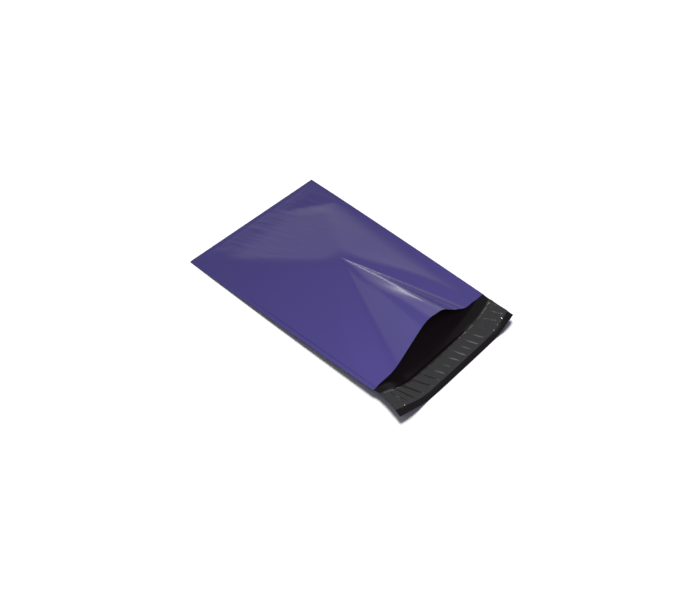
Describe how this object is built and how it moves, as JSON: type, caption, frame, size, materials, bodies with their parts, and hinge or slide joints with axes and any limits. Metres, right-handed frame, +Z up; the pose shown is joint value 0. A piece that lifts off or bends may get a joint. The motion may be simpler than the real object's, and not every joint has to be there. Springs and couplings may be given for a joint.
{
  "type": "poly mailer bag",
  "caption": "Empty plastic mailing bag lying flat with a gaping mouth, its back panel running on as a sealing lip with an adhesive band under a release liner.",
  "frame": {"origin": "centre of the bag's bounding box on the surface it lies on", "axes": "+X across the bag, +Y along it from the closed end to the sealing lip, +Z up from the table"},
  "size_m": [0.165, 0.272, 0.0336],
  "materials": {
    "film": "glossy violet film outside, near-black inside",
    "adhesive": "tacky hot-melt band",
    "liner": "clear crinkled silicone-coated film"
  },
  "bodies": {
    "root": {"bag_body": "film", "adhesive_strip": "adhesive", "release_liner": "liner"}
  },
  "joints": []
}
